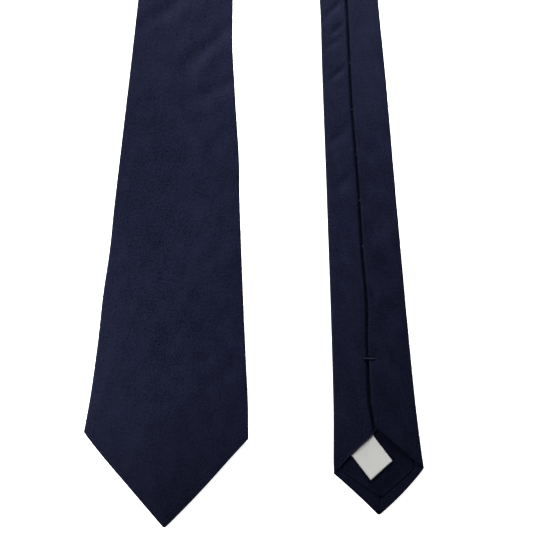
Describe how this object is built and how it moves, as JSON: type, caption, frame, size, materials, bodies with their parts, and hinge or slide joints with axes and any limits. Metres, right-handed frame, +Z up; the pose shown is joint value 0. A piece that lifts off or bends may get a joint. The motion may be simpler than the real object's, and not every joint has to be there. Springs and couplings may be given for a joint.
{
  "type": "necktie",
  "caption": "Classic long necktie with a pointed wide blade and a pointed narrow tail, folded once at the neck and laid flat, with tipping, interlining, bar tacks, keeper loop and blank labels.",
  "frame": {"origin": "bottom of the tie on the surface it lies on, in the middle of its box", "axes": "+Y from the two points up to the fold at the neck, +X from the blade on the left to the tail on the right, +Z up off the surface, out of the blade's face"},
  "size_m": [0.1766, 0.7385, 0.0081],
  "materials": {
    "navy_silk": "satin",
    "navy_lining": "satin",
    "interlining_wool": "matte",
    "navy_thread": "satin",
    "care_satin": "satin",
    "brand_satin": "satin"
  },
  "bodies": {
    "tail_upper": {"neck_shell_rear": "navy_silk", "tail_shell_upper": "navy_silk", "tail_interlining_upper": "interlining_wool", "tail_slip_stitch_upper": "navy_thread"},
    "tail_end": {"tail_shell_end": "navy_silk", "tail_interlining_end": "interlining_wool", "tail_tipping": "navy_lining", "tail_bar_tack": "navy_thread", "tail_slip_stitch_end": "navy_thread"},
    "care_label_flap": {"care_label": "care_satin"},
    "blade_upper": {"blade_shell_upper": "navy_silk", "neck_shell_front": "navy_silk", "blade_interlining_upper": "interlining_wool", "blade_slip_stitch_upper": "navy_thread"},
    "blade_end": {"blade_shell_end": "navy_silk", "blade_interlining_end": "interlining_wool", "blade_tipping": "navy_lining", "blade_bar_tack": "navy_thread", "blade_slip_stitch_end": "navy_thread", "brand_label": "brand_satin", "brand_label_tack_left": "navy_thread", "brand_label_tack_right": "navy_thread", "keeper_loop": "navy_silk", "keeper_loop_tack_left": "navy_thread", "keeper_loop_tack_right": "navy_thread"}
  },
  "joints": [
    {"name": "neck_fold", "type": "hinge", "parent": "tail_upper", "child": "blade_upper", "pos_m": [0.00664, 0.3694, 0.00405], "axis": [-1, 0, 0], "range_deg": [0, 179]},
    {"name": "blade_fold", "type": "hinge", "parent": "blade_upper", "child": "blade_end", "pos_m": [-0.03123, -0.0006, 0.00405], "axis": [0.9983, -0.058, 0], "range_deg": [-175, 0]},
    {"name": "tail_fold", "type": "hinge", "parent": "tail_upper", "child": "tail_end", "pos_m": [0.04315, -0.0006, 0.00405], "axis": [-0.9975, -0.0707, 0], "range_deg": [0, 170]},
    {"name": "care_label_flip", "type": "hinge", "parent": "tail_end", "child": "care_label_flap", "pos_m": [0.05224, -0.3332, 0.0033], "axis": [-0.7455, -0.6665, 0], "range_deg": [0, 160]}
  ]
}
